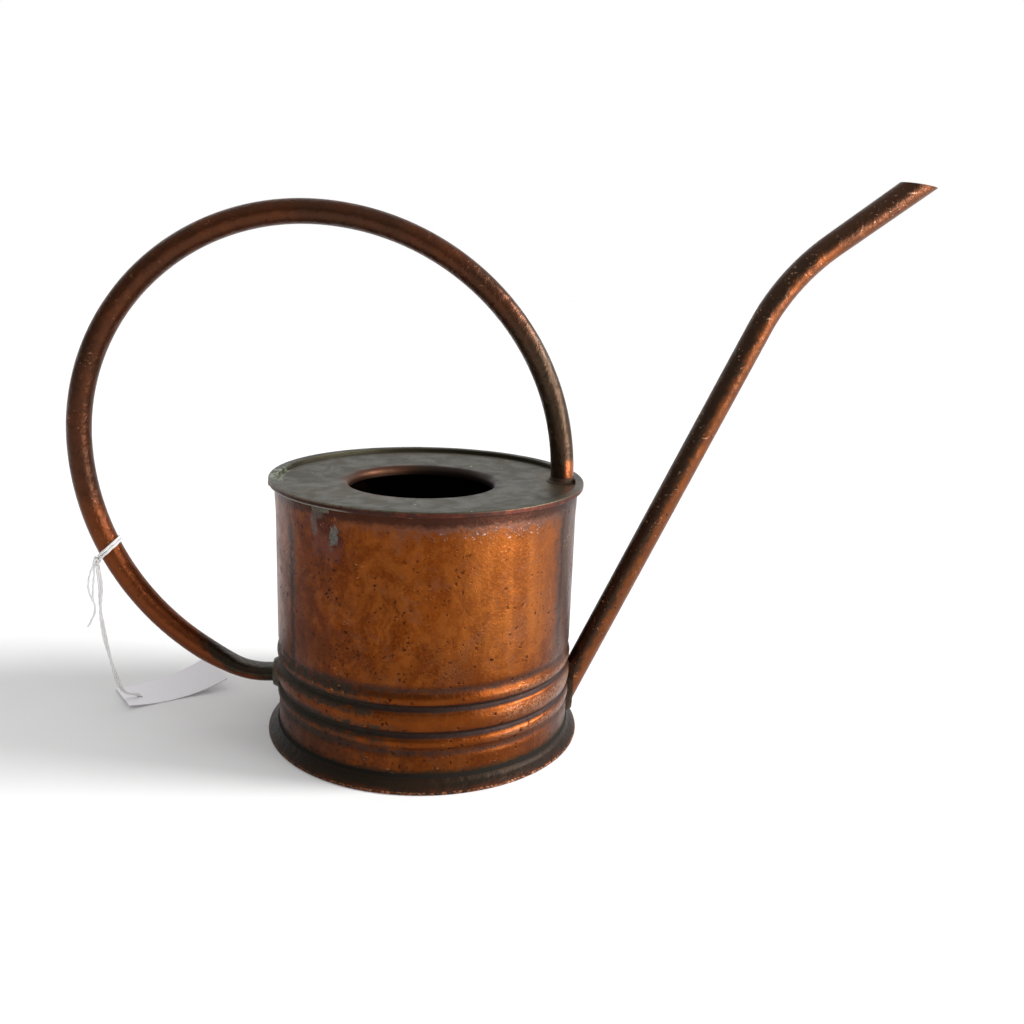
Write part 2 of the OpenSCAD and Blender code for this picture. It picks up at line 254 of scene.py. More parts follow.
string_r, string_apart = 0.62 * mm, 1.05 * mm
strand_route = [(-154.4, -1.3, 79.4), (-154.4, 0, 73.5), (-154.7, 2, 67), (-155.5, 3, 60),
                (-156.4, 5, 53), (-156.5, 7, 45), (-156.2, 9, 37), (-155.7, 11, 30),
                (-155.2, 13, 23), (-154.4, 15, 16.5), (-153.5, 17, 10.5), (-152.2, 19, 6),
                (-149.8, 21, 3.6), (-147.2, 22.6, 2.6), (-145.7, 23.5, 1.6)]
tail_route = [(-156, -0.9, 79.9), (-157.6, 0, 74), (-158.6, 1, 70), (-159.3, 2, 65.5),
              (-159.2, 3, 61), (-158.4, 3.4, 57.5), (-158.6, 3.2, 53.8), (-160, 2.7, 50.2),
              (-161.8, 2, 46.8)]
strand_line = resample(smooth_line([Vector(p) * mm for p in strand_route], 12), 0.3 * mm)
tail_line = resample(smooth_line([Vector(p) * mm for p in tail_route], 12), 0.3 * mm)


def laid_together(line, apart, turns):
    """Two lines that wind round the given one."""
    pair = ([], [])
    up = Vector((0.3, 1, 0.2))
    for i, p in enumerate(line):
        t = (line[min(i + 1, len(line) - 1)] - line[max(i - 1, 0)]).normalized()
        up = (up - t * up.dot(t)).normalized()
        a = 2 * pi * turns * i / len(line)
        off = (up * cos(a) + t.cross(up) * sin(a)) * apart / 2
        pair[0].append(p + off)
        pair[1].append(p - off)
    return pair


strand = yarn("tag_string_yarn", laid_together(strand_line, string_apart, 1.4), string_r, cotton)


def looped(line, share, apart):
    """The line as a bow: one side bulges out over the given share of it, the other side ends there."""
    whole, other = [], []
    for i, p in enumerate(line):
        s = min(i / len(line) / share, 1)
        off = Vector((1, 0.3, 0)) * apart / 2 * sin(pi * s)
        whole.append(p - off)
        if s < 1:
            other.append(p + off)
    return whole, other


tail = yarn("string_end_yarn", looped(tail_line, 0.62, 2.1 * mm), 0.5 * mm, cotton)

# The two turns round the handle and the knot
ring_c, ring_r = Vector((-36.83, 0, 137.6)) * mm, 122.32 * mm


def on_ring(at, local):
    """A point near the handle's lower back bend: at is the angle round the ring, in degrees."""
    a = radians(at)
    x, z = ring_r + local[0], local[2]
    return ring_c + Vector((x * cos(a) - z * sin(a), local[1], x * sin(a) + z * cos(a)))


turns = []
wrap_r, wrap_turns, wrap_from, wrap_pitch, tilt = 6.5 * mm, 2, 203.4, 1.4, radians(16)
for k in range(121):
    a = 2 * pi * wrap_turns * k / 120 + pi * 0.1
    x, y = wrap_r * cos(a), wrap_r * sin(a)
    turns.append(on_ring(wrap_from + wrap_pitch * k / 120, (x * cos(tilt), y, x * sin(tilt))))
knot_at, knot_turns = Vector((-154.45, -1.5, 81.3)) * mm, 2
knot = []
for k in range(91):
    a = 2 * pi * knot_turns * k / 90
    r = 1.25 + 0.35 * cos(1.5 * a)
    knot.append(knot_at + Vector((r * cos(a) * 0.8, 0.9 * sin(1.5 * a), r * sin(a))) * mm)
wrap = yarn("string_wrap_yarn", [resample(turns, 0.3 * mm), resample(knot, 0.3 * mm)], 0.68 * mm, cotton)

# ---------------------------------------------------------------- shared finishes
# Effects that several of the copper pieces show: where a point lies round the drum, blotchy
# patina, pits and scratches.


def effect(name, inputs, outputs):
    """An empty node group with named value inputs and outputs."""
    group = bpy.data.node_groups.new(name, "ShaderNodeTree")
    for label, value in inputs:
        socket = group.interface.new_socket(name=label, in_out="INPUT", socket_type="NodeSocketFloat")
        socket.default_value = value
    for label in outputs:
        group.interface.new_socket(name=label, in_out="OUTPUT", socket_type="NodeSocketFloat")
    return group, group.nodes.new("NodeGroupInput").outputs, group.nodes.new("NodeGroupOutput").inputs


def use(tree, group, **values):
    """Places an effect in a material with its own values."""
    node = tree.nodes.new("ShaderNodeGroup")
    node.node_tree = group
    for key, value in values.items():
        node.inputs[key].default_value = value
    return node.outputs


def times(tree, *values):
    """The product of several masks."""
    result = values[0]
    for value in values[1:]:
        result = math(tree, "MULTIPLY", result, value)
    return result


def most(tree, *values):
    """The strongest of several masks."""
    result = values[0]
    for value in values[1:]:
        result = math(tree, "MAXIMUM", result, value)
    return result


def waver(tree, measure, spots, reach):
    """A measure moved by a noise, so that a mask drawn with it gets a ragged edge."""
    return math(tree, "ADD", measure, times(tree, spots, reach))


def between(tree, value, low, high, soft):
    """A mask that is 1 from low to high and fades out over soft on either side."""
    fade_in = ramp(tree, value, low - soft, low + soft)
    return times(tree, fade_in, ramp(tree, value, high - soft, high + soft, 1.0, 0.0))


# Where a point lies: degrees round from the front towards the spout, and millimetres out and up
places, given, result = effect("place on the drum", [], ["Around", "Out", "Up"])
here = wire(places, "ShaderNodeTexCoord").outputs["Object"]
axes = wire(places, "ShaderNodeSeparateXYZ", {0: here}).outputs
turned = math(places, "ARCTAN2", axes[0], math(places, "MULTIPLY", axes[1], -1.0))
places.links.new(math(places, "MULTIPLY", turned, 180 / pi), result["Around"])
squares = math(places, "ADD", times(places, axes[0], axes[0]), times(places, axes[1], axes[1]))
places.links.new(math(places, "MULTIPLY", math(places, "SQRT", squares), 1000.0), result["Out"])
places.links.new(math(places, "MULTIPLY", axes[2], 1000.0), result["Up"])

# Patina: broad stains, soft streaks that run down, mottling and fine speckle, each 0 to 1
patina, given, result = effect("patina", [("Size", 1), ("Seed", 0)], ["Broad", "Streak", "Mottle", "Speckle"])
for label, stretch, scale, detail, low, high, warp in (
        ("Broad", (1, 1, 1), 21, 3, 0.36, 0.64, 0.8), ("Streak", (1, 1, 0.16), 95, 3, 0.36, 0.66, 0.5),
        ("Mottle", (1, 1, 0.8), 110, 5, 0.36, 0.66, 0.6), ("Speckle", (1, 1, 1), 760, 4, 0.42, 0.70, 0.0)):
    size = math(patina, "DIVIDE", scale, given["Size"])
    spots = noise(patina, place(patina, stretch), size, detail, 0.6, warp, given["Seed"])
    patina.links.new(ramp(patina, spots, low, high), result[label])

# Pits: small dark holes that come in clusters, some drawn out to short dashes
pits, given, result = effect("pits", [("Spacing", 400), ("Share", 0.3), ("Width", 0.22), ("Seed", 0)],
                             ["Pit"])
here = place(pits)
wobble = wire(pits, "ShaderNodeTexNoise", {"Vector": here, "Scale": 700, "Detail": 3})
bent = wire(pits, "ShaderNodeVectorMath", {0: wobble.outputs["Color"], 1: (0.003, 0.003, 0.0022), 2: here},
            operation="MULTIPLY_ADD")
moved = wire(pits, "ShaderNodeVectorMath", {0: bent.outputs[0]}, operation="ADD")
pits.links.new(given["Seed"], moved.inputs[1])
cells = wire(pits, "ShaderNodeTexVoronoi", {"Vector": moved.outputs[0], "Scale": given["Spacing"]})
chance = wire(pits, "ShaderNodeSeparateColor", {0: cells.outputs["Color"]})
clusters = noise(pits, here, 42, 2, 0.6, 0, given["Seed"])
gathered = times(pits, given["Share"], ramp(pits, clusters, 0.44, 0.62, 0.06, 1))
picked = math(pits, "LESS_THAN", chance.outputs[0], gathered)
spread = math(pits, "ADD", times(pits, chance.outputs[1], chance.outputs[1]), 0.35)
width = times(pits, given["Width"], spread)
hole = ramp(pits, cells.outputs["Distance"], width, math(pits, "ADD", width, 0.12), 1, 0)
pits.links.new(times(pits, hole, picked), result["Pit"])

# Scratches: thin broken lines in two directions, in patches
scratches, given, result = effect("scratches", [("Seed", 0), ("Share", 0.5)], ["Line"])
lines = []
for turn, stretch in (((0.2, 0.1, 0.5), (60, 900, 900)), ((0.9, 0.7, 0.3), (900, 50, 800))):
    spots = noise(scratches, place(scratches, stretch, turn), 1, 2, 0.5, 0.3, given["Seed"])
    lines.append(ramp(scratches, spots, 0.66, 0.70))
patches = noise(scratches, place(scratches), 60, 2, 0.5, 0, given["Seed"])
open_at = math(scratches, "SUBTRACT", 0.75, times(scratches, given["Share"], 0.4))
gate = ramp(scratches, math(scratches, "SUBTRACT", patches, open_at), -0.02, 0.03)
scratches.links.new(times(scratches, most(scratches, *lines), gate), result["Line"])


def bump(tree, shader, *layers):
    """Stacks bumps on the shader's normal: pairs of height and depth in metres."""
    normal = None
    for height, depth in layers:
        node = wire(tree, "ShaderNodeBump", {"Height": height, "Strength": 0.6, "Distance": depth})
        if normal is not None:
            tree.links.new(normal, node.inputs["Normal"])
        normal = node.outputs[0]
    tree.links.new(normal, shader.inputs["Normal"])


# ---------------------------------------------------------------- drum
# The drum is one sheet of copper bent round and seamed, with five rings rolled into it above
# the foot. Its top turns out under the rim and its bottom spreads over the foot's hollow.
body_r, sheet, fit = 70.6, 0.7, 0.05
rim_z, rim_r = 125.3, 73.7
top_swell, swell_z, swell_end = 0.4, 108.3, 118.3
neck_r = body_r + top_swell
rings = [(31.4, 5.6, 0.8), (21.4, 3.2, 0.6), (41.4, 3.2, 0.6), (25.3, 2.4, -1.5), (37.5, 2.4, -1.5),
         (17.2, 3, -0.5), (46, 3, -0.5)]


def wall_r(z):
    """Outer radius of the drum's wall at a height."""
    up = min(max((z - swell_z) / (swell_end - swell_z), 0), 1)
    return body_r + top_swell * (1 - cos(pi * up)) / 2 + sum(
        out * (1 + cos(pi * abs(z - at) / half)) / 2 for at, half, out in rings if abs(z - at) < half)


def arc(x, z, r, start, end, parts):
    return [(x + r * cos(radians(start + (end - start) * i / parts)),
             z + r * sin(radians(start + (end - start) * i / parts))) for i in range(parts + 1)]


foot_r, cove = body_r + 5.4, 5.0
skirt_sum = foot_r + sheet / 2 - sqrt(2) * (sheet + fit)
cove_x = body_r + cove
cove_z = skirt_sum - cove_x + sqrt(2) * cove
flange_z = rim_z - sheet - fit
heights = [cove_z + 0.5 + (swell_z - 60 - cove_z) * i / 90 for i in range(91)]
heights += [heights[-1] + (flange_z - sheet - heights[-1]) * i / 50 for i in range(1, 51)]


def lathe_tree():
    """Turns the object's own points, a profile in X-Z, round Z into a skin."""
    tree = bpy.data.node_groups.new("turned sheet", "GeometryNodeTree")
    side = tree.interface
    side.new_socket(name="Geometry", in_out="INPUT", socket_type="NodeSocketGeometry")
    side.new_socket(name="Segments", in_out="INPUT", socket_type="NodeSocketInt").default_value = 256
    side.new_socket(name="Finish", in_out="INPUT", socket_type="NodeSocketMaterial")
    side.new_socket(name="Geometry", in_out="OUTPUT", socket_type="NodeSocketGeometry")
    given = tree.nodes.new("NodeGroupInput").outputs
    rows = wire(tree, "GeometryNodeAttributeDomainSize",
                {"Geometry": given["Geometry"]}).outputs["Point Count"]
    grid = wire(tree, "GeometryNodeMeshGrid", {"Size X": 1.0, "Size Y": 1.0, "Vertices Y": rows,
                "Vertices X": math(tree, "ADD", given["Segments"], 1.0)})
    index = wire(tree, "GeometryNodeInputIndex").outputs[0]
    column = math(tree, "FLOOR", math(tree, "DIVIDE", math(tree, "ADD", index, 0.5), rows))
    row = math(tree, "SUBTRACT", index, math(tree, "MULTIPLY", column, rows))
    point = wire(tree, "GeometryNodeSampleIndex", {"Geometry": given["Geometry"]}, data_type="FLOAT_VECTOR")
    tree.links.new(wire(tree, "GeometryNodeInputPosition").outputs[0], point.inputs["Value"])
    tree.links.new(row, point.inputs["Index"])
    at = wire(tree, "ShaderNodeSeparateXYZ", {0: point.outputs[0]}).outputs
    share = math(tree, "DIVIDE", math(tree, "MODULO", column, given["Segments"]), given["Segments"])
    angle = math(tree, "MULTIPLY", share, 2 * pi)
    ray = {0: math(tree, "COSINE", angle), 1: math(tree, "SINE", angle)}
    out = wire(tree, "ShaderNodeCombineXYZ", ray).outputs[0]
    clean = wire(tree, "ShaderNodeVectorMath", {0: out}, operation="SCALE")
    tree.links.new(at[0], clean.inputs["Scale"])
    base = wire(tree, "ShaderNodeVectorMath", {0: clean.outputs[0]}, operation="ADD").outputs[0]
    tree.links.new(wire(tree, "ShaderNodeCombineXYZ", {2: at[2]}).outputs[0], base.node.inputs[1])
    skin = wire(tree, "GeometryNodeSetPosition",
                {"Geometry": grid.outputs["Mesh"], "Position": base}).outputs[0]
    skin = wire(tree, "GeometryNodeMergeByDistance", {"Geometry": skin, "Distance": 1e-6}).outputs[0]
    skin = wire(tree, "GeometryNodeRealizeInstances", {"Geometry": skin}).outputs[0]
    skin = wire(tree, "GeometryNodeSetMaterial", {"Geometry": skin, "Material": given["Finish"]}).outputs[0]
    tree.links.new(skin, tree.nodes.new("NodeGroupOutput").inputs[0])
    return tree


def grown(name, mesh, tree, values, crease=35):
    """The plain mesh that the tree makes from the given one."""
    scene = bpy.context.scene.collection.objects
    seed = bpy.data.objects.new(name + "_start", mesh)
    scene.link(seed)
    modifier = seed.modifiers.new("grow", "NODES")
    modifier.node_group = tree
    for item in tree.interface.items_tree:
        if item.in_out == "INPUT" and item.name in values:
            modifier[item.identifier] = values[item.name]
    made = bpy.data.meshes.new_from_object(seed.evaluated_get(bpy.context.evaluated_depsgraph_get()))
    made.name = name
    bpy.data.objects.remove(seed)
    made.polygons.foreach_set("use_smooth", [True] * len(made.polygons))
    made.set_sharp_from_angle(angle=radians(crease))
    obj = bpy.data.objects.new(name, made)
    scene.link(obj)
    return obj


def profile(name, points):
    """A line of points in X-Z, given in millimetres, for the lathe tree."""
    mesh = bpy.data.meshes.new(name)
    edges = [(i, i + 1) for i in range(len(points) - 1)]
    mesh.from_pydata([(x * mm, 0, z * mm) for x, z in points], edges, [])
    return mesh


turned_sheet = lathe_tree()

copper, tree, shader = new_material("drum copper")
where = use(tree, places)
around, out, up = (where[label] for label in ("Around", "Out", "Up"))
# Marks that reach the back fade out there, where the angle starts again
to_back = ramp(tree, math(tree, "ABSOLUTE", around), 172, 105)
stain = use(tree, patina, Size=1.0, Seed=3.0)
fine = use(tree, pits, Spacing=400, Share=0.95, Width=0.24, Seed=1.0)
large = use(tree, pits, Spacing=170, Share=0.35, Width=0.11, Seed=5.0)
marks = use(tree, scratches, Seed=2.0, Share=0.35)
grain = noise(tree, place(tree, (1, 1, 1.5)), 620, 4, 0.65, 0.6, 2.0)
ragged = math(tree, "SUBTRACT", noise(tree, place(tree, (1, 1, 1)), 240, 5, 0.65, 1.0, 8.0), 0.5)
colour = blend(tree, stain["Broad"], rgb(80, 33, 2), rgb(104, 47, 6))
# A painted highlight: a broad pale band up the drum's right front, above the rings
painted_highlight = times(tree, between(tree, around, 14, 50, 12), ramp(tree, up, 46, 66),
                 ramp(tree, stain["Streak"], 0, 1, 0.45, 1))
colour = blend(tree, times(tree, stain["Streak"], 0.5), colour, rgb(124, 62, 14))
colour = blend(tree, times(tree, painted_highlight, 0.55), colour, rgb(168, 100, 46))
colour = blend(tree, times(tree, stain["Mottle"], 0.45), colour, rgb(82, 36, 8))
colour = blend(tree, times(tree, stain["Speckle"], 0.22), colour, rgb(160, 90, 36))
# Cloudy patches of fresher copper and of pinkish haze
cloud = ramp(tree, noise(tree, place(tree, (1, 1, 0.8)), 80, 5, 0.66, 1.4, 17.0), 0.46, 0.60)
colour = blend(tree, times(tree, cloud, 0.45), colour, rgb(140, 78, 30))
haze = ramp(tree, noise(tree, place(tree), 60, 5, 0.66, 1.2, 23.0), 0.50, 0.64)
colour = blend(tree, times(tree, haze, 0.38), colour, rgb(108, 66, 44))
# Redder towards the handle. Painted shade: a darker brown band over the top ring, where the wall necks in
red = times(tree, between(tree, around, -95, -25, 18), ramp(tree, stain["Mottle"], 0.0, 0.8, 0.35, 1.0))
colour = blend(tree, times(tree, red, 0.55), colour, rgb(74, 28, 10))
painted_neck_shade = times(tree, between(tree, up, 44, 62, 10), ramp(tree, stain["Broad"], 0.1, 0.9))
colour = blend(tree, times(tree, painted_neck_shade, 0.45), colour, rgb(74, 34, 10))
# Purple-grey bloom under the rim, heaviest on the spout's side, with pale crumbs in it
rim_up = waver(tree, up, ragged, 16.0)
bloom = times(tree, ramp(tree, rim_up, 112.5, 118.0),
              math(tree, "ADD", times(tree, ramp(tree, around, -42, 20), to_back, 0.85), 0.15))
colour = blend(tree, times(tree, bloom, 0.8), colour, rgb(92, 66, 58))
crumbs = times(tree, ramp(tree, grain, 0.56, 0.60), ramp(tree, ragged, -0.02, 0.08))
spout_side = times(tree, between(tree, around, 6, 46, 7), between(tree, rim_up, 112.5, 118.5, 2))
colour = blend(tree, times(tree, crumbs, spout_side, 0.8), colour, rgb(190, 160, 146))
# The flank by the spout is purple-brown with a dark line down it and a few yellow-green crumbs
flank = times(tree, ramp(tree, waver(tree, around, ragged, 18.0), 52, 60), to_back)
colour = blend(tree, times(tree, flank, 0.72), colour, rgb(72, 56, 50))
flank_line = times(tree, between(tree, waver(tree, around, ragged, 5.0), 58.0, 60.5, 1.2),
                   between(tree, up, 52, 116, 5))
colour = blend(tree, times(tree, flank_line, 0.65), colour, rgb(44, 26, 18))
dusting = times(tree, ramp(tree, grain, 0.57, 0.61), between(tree, around, 61, 72, 3),
                between(tree, up, 99, 108, 3))
colour = blend(tree, times(tree, dusting, 0.7), colour, rgb(176, 168, 128))
# Painted shade: a dark red-brown band right under the hem
under_hem = ramp(tree, waver(tree, up, ragged, 6.0), 117.0, 119.8)
colour = blend(tree, times(tree, under_hem, 0.85), colour, rgb(52, 28, 20))
# A dark seam down the side by the handle
seam_at = waver(tree, around, ragged, 8.0)
seam = times(tree, between(tree, seam_at, -58.0, -55.4, 1.0), between(tree, up, 44, 112, 6))
colour = blend(tree, times(tree, seam, 0.92), colour, rgb(34, 13, 7))
# Spilt solder below the rim: thin grey smears that ran down over burnt red-brown copper
edge_spots = noise(tree, place(tree, (1, 1, 0.5)), 330, 5, 0.8, 1.2, 6.0)
edge_noise = times(tree, math(tree, "SUBTRACT", edge_spots, 0.5), 8.0)


def drip(at, width, z, height, lean=0.0):
    """How far inside a ragged oval on the drum a point lies, 0 to 1. It leans by degrees per mm."""
    leaned = math(tree, "ADD", around, times(tree, math(tree, "SUBTRACT", up, z), lean))
    a = math(tree, "DIVIDE", math(tree, "SUBTRACT", leaned, at), width)
    h = math(tree, "DIVIDE", math(tree, "SUBTRACT", up, z), height)
    round_it = math(tree, "ADD", times(tree, a, a), times(tree, h, h))
    return ramp(tree, math(tree, "ADD", round_it, edge_noise), 1.25, 0.75)


burnt = drip(-37.5, 7.5, 110, 12)
colour = blend(tree, times(tree, burnt, 0.8), colour,
               blend(tree, stain["Mottle"], rgb(86, 50, 44), rgb(56, 26, 22)))
sliver = most(tree, drip(-42.4, 1.5, 114.2, 4.6, 0.1), drip(-40.5, 3.2, 119, 1.6))
spill = most(tree, times(tree, sliver, 0.42), times(tree, drip(-33.6, 1.9, 110.6, 5.2, -0.15), 0.85))
spill_tone = blend(tree, stain["Speckle"], rgb(84, 86, 82), rgb(116, 116, 108))
colour = blend(tree, times(tree, spill, 0.9), colour, spill_tone)
# Painted shade darkens the grooves of the rings, over dark grime, and painted highlights brighten their
# crests, which are also rubbed
low_zone = ramp(tree, up, 49.5, 47.5)
wavy_out = waver(tree, out, ragged, 1.0)
groove = times(tree, ramp(tree, wavy_out, 70.6, 69.8), low_zone)
crest = times(tree, ramp(tree, wavy_out, 70.75, 71.2), low_zone, ramp(tree, stain["Speckle"], 0.9, 0.1))
colour = blend(tree, times(tree, low_zone, 0.45), colour, rgb(74, 35, 12))
colour = blend(tree, times(tree, groove, 0.92), colour, rgb(34, 24, 22))
colour = blend(tree, times(tree, crest, 0.5), colour, rgb(116, 56, 12))
# Painted highlight: grainy pale specks on the crests on the spout's side, where the light falls
wear_and_highlight = times(tree, crest, to_back, ramp(tree, around, 18, 42), ramp(tree, grain, 0.40, 0.54))
colour = blend(tree, times(tree, wear_and_highlight, 0.7), colour, rgb(150, 108, 82))
# Greenish-black grime that has stayed on the rings by the handle, and painted shade, as dark, in the foot's
# hollow
grime_way = waver(tree, around, ragged, 150.0)
grime = times(tree, to_back, ramp(tree, grime_way, -12, -34),
              ramp(tree, waver(tree, up, ragged, 22.0), 49, 42),
              ramp(tree, wavy_out, 71.35, 70.95), ramp(tree, waver(tree, up, ragged, 34.0), 14, 21, 0.25, 1))
hollow = ramp(tree, waver(tree, up, ragged, 7.0), 10.5, 7.0)
colour = blend(tree, times(tree, most(tree, grime, hollow), 0.86), colour, rgb(40, 36, 26))
# Pits, with fine dark grain low on the front
low_grain = times(tree, ramp(tree, grain, 0.57, 0.60), between(tree, up, 49, 70, 6),
                  between(tree, around, -38, 28, 16),
                  ramp(tree, stain["Mottle"], 0.1, 0.6))
holes = most(tree, fine["Pit"], large["Pit"], times(tree, low_grain, 0.8))
holes = times(tree, holes, ramp(tree, up, 118, 72, 0.5, 1.0), ramp(tree, stain["Streak"], 0.0, 1.0, 0.6, 1.0))
colour = blend(tree, times(tree, holes, 0.85), colour, rgb(40, 17, 8))
colour = blend(tree, times(tree, marks["Line"], 0.25), colour, rgb(222, 160, 110))
# The inside is nearly black
inside = times(tree, ramp(tree, out, 70.35, 70.1), ramp(tree, up, 50, 54))
colour = blend(tree, times(tree, inside, 0.9), colour, rgb(16, 17, 15))
tree.links.new(colour, shader.inputs["Base Color"])
dirty = most(tree, groove, grime, hollow, holes)
tree.links.new(math(tree, "ADD", math(tree, "ADD", times(tree, stain["Mottle"], 0.10), 0.34),
                    times(tree, dirty, 0.25)),
               shader.inputs["Roughness"])
tree.links.new(math(tree, "SUBTRACT", 0.92, times(tree, most(tree, groove, grime), 0.4)),
               shader.inputs["Metallic"])
shader.inputs["Specular IOR Level"].default_value = 0.3
bump(tree, shader, (noise(tree, place(tree), 42, 2, 0.5), 0.0014),
     (math(tree, "SUBTRACT", times(tree, stain["Speckle"], 0.3), holes), 0.00025))

drum_line = ([(skirt_sum - sheet - fit, sheet + fit)] + arc(cove_x, cove_z, cove, 225, 180, 8)
             + [(wall_r(z), z) for z in heights]
             + [(rim_r - sheet - fit, flange_z - sheet), (rim_r - sheet - fit, flange_z),
                (neck_r - sheet, flange_z)]
             + [(wall_r(z) - sheet, z) for z in reversed(heights)]
             + arc(cove_x, cove_z, cove + sheet, 180, 225, 8)
             + [(skirt_sum - (1 + sqrt(2)) * sheet - fit, sheet + fit),
                (skirt_sum - sheet - fit, sheet + fit)])
drum = grown("drum", profile("drum_line", drum_line), turned_sheet,
             {"Segments": 288, "Finish": copper})
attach(drum, "root")
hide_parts("body_shell")

# ---------------------------------------------------------------- foot
# A dished base plate of dark copper, its edge folded over the drum's and soldered there.
# The materials of all the can's solder are in this section too.
foot_copper, tree, shader = new_material("foot copper")
where = use(tree, places)
around, out, up = (where[label] for label in ("Around", "Out", "Up"))
stain = use(tree, patina, Size=0.8, Seed=9.0)
crumb = noise(tree, place(tree), 700, 4, 0.7, 0, 3.0)
colour = blend(tree, stain["Broad"], rgb(44, 30, 20), rgb(34, 27, 19))
colour = blend(tree, times(tree, stain["Mottle"], ramp(tree, out, 73.6, 75.6), 0.7), colour, rgb(84, 42, 22))
colour = blend(tree, times(tree, between(tree, around, -160, -45, 25), 0.7), colour, rgb(28, 25, 19))
colour = blend(tree, times(tree, between(tree, around, 25, 120, 25), 0.5), colour, rgb(16, 10, 7))
# A painted highlight in pale specks along the foot's outer edge, strongest on the spout's side
edge = times(tree, ramp(tree, out, 75.3, 75.8), ramp(tree, crumb, 0.46, 0.60),
             ramp(tree, math(tree, "ABSOLUTE", math(tree, "SUBTRACT", around, 40)), 60, 120, 1.0, 0.4))
colour = blend(tree, edge, colour, rgb(150, 98, 68))
tree.links.new(colour, shader.inputs["Base Color"])
shader.inputs["Metallic"].default_value = 0.7
shader.inputs["Roughness"].default_value = 0.5
shader.inputs["Specular IOR Level"].default_value = 0.2
bump(tree, shader, (stain["Mottle"], 0.0003))

# Old solder is grey tin gone brown and green at its edges
solder, tree, shader = new_material("old solder")
stain = use(tree, patina, Size=0.35, Seed=4.0)
colour = blend(tree, stain["Mottle"], rgb(84, 82, 70), rgb(44, 40, 32))
colour = blend(tree, times(tree, stain["Broad"], 0.6), colour, rgb(84, 54, 34))
colour = blend(tree, times(tree, stain["Speckle"], 0.25), colour, rgb(150, 160, 140))
tree.links.new(colour, shader.inputs["Base Color"])
shader.inputs["Metallic"].default_value = 0.4
shader.inputs["Roughness"].default_value = 0.5
bump(tree, shader, (stain["Mottle"], 0.0005))

# On the lid and round the spout it has gone as dark as the copper
brown_solder, tree, shader = new_material("brown solder")
stain = use(tree, patina, Size=0.35, Seed=7.0)
colour = blend(tree, stain["Mottle"], rgb(58, 50, 38), rgb(38, 28, 20))
colour = blend(tree, times(tree, stain["Broad"], 0.5), colour, rgb(70, 44, 28))
tree.links.new(colour, shader.inputs["Base Color"])
shader.inputs["Metallic"].default_value = 0.5
shader.inputs["Roughness"].default_value = 0.55
shader.inputs["Specular IOR Level"].default_value = 0.2
bump(tree, shader, (stain["Mottle"], 0.0004))

# The line round the foot is nearly covered by grime, with pale bits showing
foot_line, tree, shader = new_material("foot solder")
where = use(tree, places)
crumb = noise(tree, place(tree, (1, 1, 1.6)), 520, 4, 0.7, 0.6, 6.0)
upper = ramp(tree, waver(tree, where["Up"], crumb, 1.2), 8.4, 8.9)
colour = blend(tree, times(tree, ramp(tree, crumb, 0.48, 0.56), upper), rgb(20, 16, 11), rgb(168, 136, 116))
colour = blend(tree, between(tree, where["Around"], -160, -37, 12), colour, rgb(26, 24, 18))
tree.links.new(colour, shader.inputs["Base Color"])
shader.inputs["Roughness"].default_value = 0.8
shader.inputs["Specular IOR Level"].default_value = 0.12
bump(tree, shader, (crumb, 0.0006))


def finish(material, *nodes):
    """Gives CAD nodes their material."""
    for name in nodes:
        mesh = frame["nodes"][name].data
        mesh.materials.clear()
        mesh.materials.append(material)


finish(foot_copper, "base_plate")
finish(foot_line, "foot_solder")
finish(solder, "handle_low_solder", "rim_solder")
finish(brown_solder, "handle_top_solder", "spout_solder")

# ---------------------------------------------------------------- lid and rim
# A dished lid with a turned-down filler hole, its edge folded over the drum's top.
lid_copper, tree, shader = new_material("lid copper")
where = use(tree, places)
around, out, up = (where[label] for label in ("Around", "Out", "Up"))
stain = use(tree, patina, Size=1.2, Seed=12.0)
marks = use(tree, scratches, Seed=5.0, Share=0.6)
specks = use(tree, pits, Spacing=260, Share=0.10, Width=0.10, Seed=3.0)
crumb = noise(tree, place(tree), 420, 4, 0.65, 0.5, 5.0)
colour = blend(tree, stain["Broad"], rgb(59, 57, 41), rgb(67, 62, 47))
colour = blend(tree, times(tree, stain["Mottle"], 0.35), colour, rgb(60, 52, 41))
colour = blend(tree, times(tree, marks["Line"], 0.4), colour, rgb(124, 122, 106))
colour = blend(tree, times(tree, specks["Pit"], 0.8), colour, rgb(205, 200, 188))
# Browner round the handle's foot and in a ring inside the rim
inner_ring = times(tree, between(tree, out, 67.2, 69.6, 0.7), ramp(tree, up, 124.6, 124.2))
colour = blend(tree, times(tree, inner_ring, 0.45), colour, rgb(62, 58, 46))
by_handle = times(tree, between(tree, around, 72, 108, 8), ramp(tree, out, 50, 58))
colour = blend(tree, times(tree, by_handle, 0.4), colour, rgb(96, 78, 60))
# The filler's lip is worn to copper by the handle's low side and is browner elsewhere
filler_r, filler_off = 37.2, 3
across, deep, high = wire(tree, "ShaderNodeSeparateXYZ",
                          {0: place(tree, (1000, 1000, 1000), shift=(filler_off, 0, 0))}).outputs
from_filler = math(tree, "SQRT", math(tree, "ADD", times(tree, across, across), times(tree, deep, deep)))
lip = ramp(tree, from_filler, filler_r + 2.0, filler_r - 0.8)
lip_tone = blend(tree, ramp(tree, math(tree, "ADD", across, times(tree, stain["Mottle"], 12.0)), -16, 14),
                 rgb(70, 41, 23), rgb(43, 31, 24))
colour = blend(tree, lip, colour, lip_tone)
colour = blend(tree, ramp(tree, up, 119.4, 117.8), colour, rgb(24, 18, 15))
# Painted shade: the raised rim is nearly black at the back
rim_top = times(tree, ramp(tree, out, 69.6, 70.4), ramp(tree, up, 123.6, 124.4))
colour = blend(tree, times(tree, rim_top, ramp(tree, deep, -30, 10), 0.8), colour, rgb(34, 34, 26))
